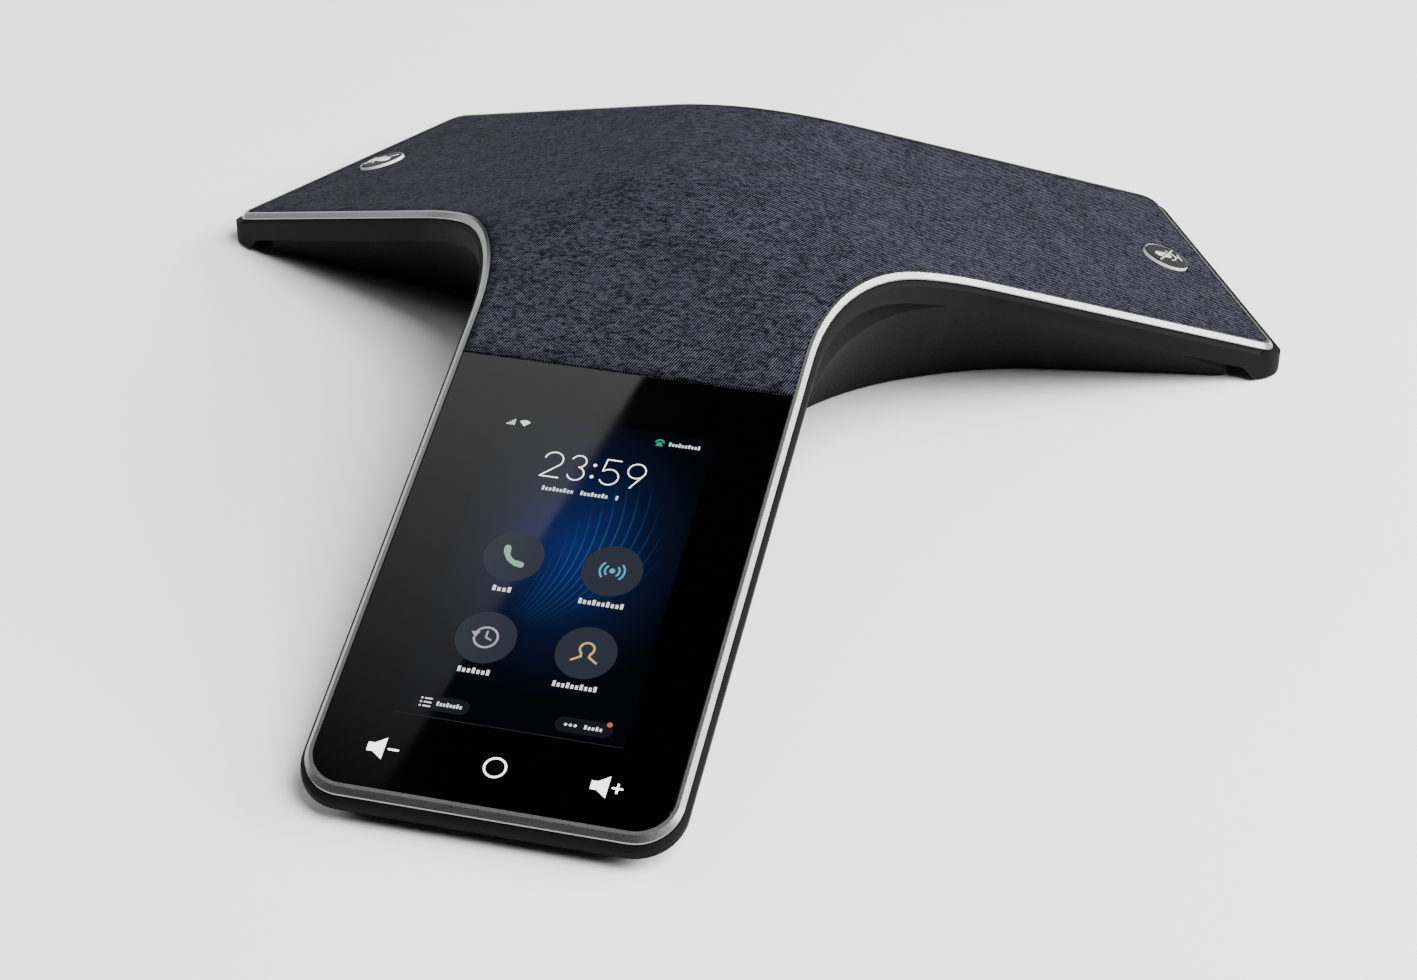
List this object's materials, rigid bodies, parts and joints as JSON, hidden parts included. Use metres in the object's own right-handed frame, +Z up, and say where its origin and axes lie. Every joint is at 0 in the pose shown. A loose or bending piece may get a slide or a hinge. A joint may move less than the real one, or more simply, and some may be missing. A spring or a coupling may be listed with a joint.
{
  "type": "conference ip phone",
  "caption": "Y-shaped tabletop conference phone with a sloping touch display on its front limb, cloth-covered speaker hub and two mute keys.",
  "frame": {"origin": "on the table, under the middle of the bounding box", "axes": "+Z up, the display limb points to -Y, +X to the right as seen by its user"},
  "size_m": [0.351, 0.3618, 0.0745],
  "materials": {
    "rim": "fine blasted",
    "cloth": "woven melange",
    "housing": "fine texture",
    "base": "fine texture",
    "inner_plastic": "moulded",
    "screw_steel": "zinc plated",
    "pad_rubber": "matte",
    "foam": "foam",
    "cover_glass": "polished cover glass",
    "screen": "lit picture",
    "plate_steel": "pressed",
    "circuit_board": "solder mask",
    "flex": "polyimide",
    "key_cap": "satin",
    "key_ring": "polished",
    "switch": "moulded",
    "mic_rubber": "moulded",
    "metal_can": "tinned",
    "magnet": "ferrite",
    "cone_paper": "pressed pulp",
    "coil_copper": "enamelled",
    "socket_plastic": "moulded"
  },
  "bodies": {
    "housing": {"acoustic_cloth": "cloth", "audio_jack": "socket_plastic", "board_connectors": "switch", "board_screws": "screw_steel", "display_board": "circuit_board", "display_bracket": "plate_steel", "display_cable": "flex", "display_gasket": "foam", "display_panel": "screen", "ethernet_contacts": "coil_copper", "ethernet_jack": "socket_plastic", "front_pad": "pad_rubber", "grille_carrier": "inner_plastic", "housing_screws": "screw_steel", "left_antenna": "circuit_board", "left_key_board": "circuit_board", "left_key_ring": "key_ring", "left_key_switch": "switch", "left_mic_board": "circuit_board", "left_mic_boot": "mic_rubber", "left_tip_pad": "pad_rubber", "lower_housing": "base", "magnet_ring": "magnet", "magnet_top_plate": "plate_steel", "magnet_yoke": "plate_steel", "main_board": "circuit_board", "mic_capsules": "metal_can", "port_panel": "base", "processor": "switch", "rear_pad": "pad_rubber", "right_antenna": "circuit_board", "right_key_board": "circuit_board", "right_key_ring": "key_ring", "right_key_switch": "switch", "right_mic_board": "circuit_board", "right_mic_boot": "mic_rubber", "right_tip_pad": "pad_rubber", "shield_can": "metal_can", "speaker_basket": "plate_steel", "speaker_box": "inner_plastic", "speaker_gasket": "foam", "speaker_screws": "screw_steel", "speaker_spider": "cone_paper", "speaker_surround": "mic_rubber", "touch_glass": "cover_glass", "trim_frame": "rim", "upper_housing": "housing", "usb_a_jack": "metal_can", "usb_c_jack": "metal_can"},
    "left_mute_key": {"left_mute_key": "key_cap"},
    "right_mute_key": {"right_mute_key": "key_cap"},
    "speaker_cone": {"speaker_cone": "cone_paper", "dust_cap": "cone_paper", "voice_coil": "coil_copper"}
  },
  "joints": [
    {"name": "left_mute_press", "type": "slide", "parent": "housing", "child": "left_mute_key", "axis": [0.3216, -0.1857, -0.9285], "range_m": [0, 0.0005], "stiffness_N_per_m": 600, "springref_m": -0.0005},
    {"name": "right_mute_press", "type": "slide", "parent": "housing", "child": "right_mute_key", "axis": [-0.3216, -0.1857, -0.9285], "range_m": [0, 0.0005], "stiffness_N_per_m": 600, "springref_m": -0.0005},
    {"name": "speaker_cone_travel", "type": "slide", "parent": "housing", "child": "speaker_cone", "axis": [0, 0, 1], "range_m": [-0.0015, 0.0015], "stiffness_N_per_m": 1500, "deforming": ["speaker_surround", "speaker_spider"]}
  ]
}
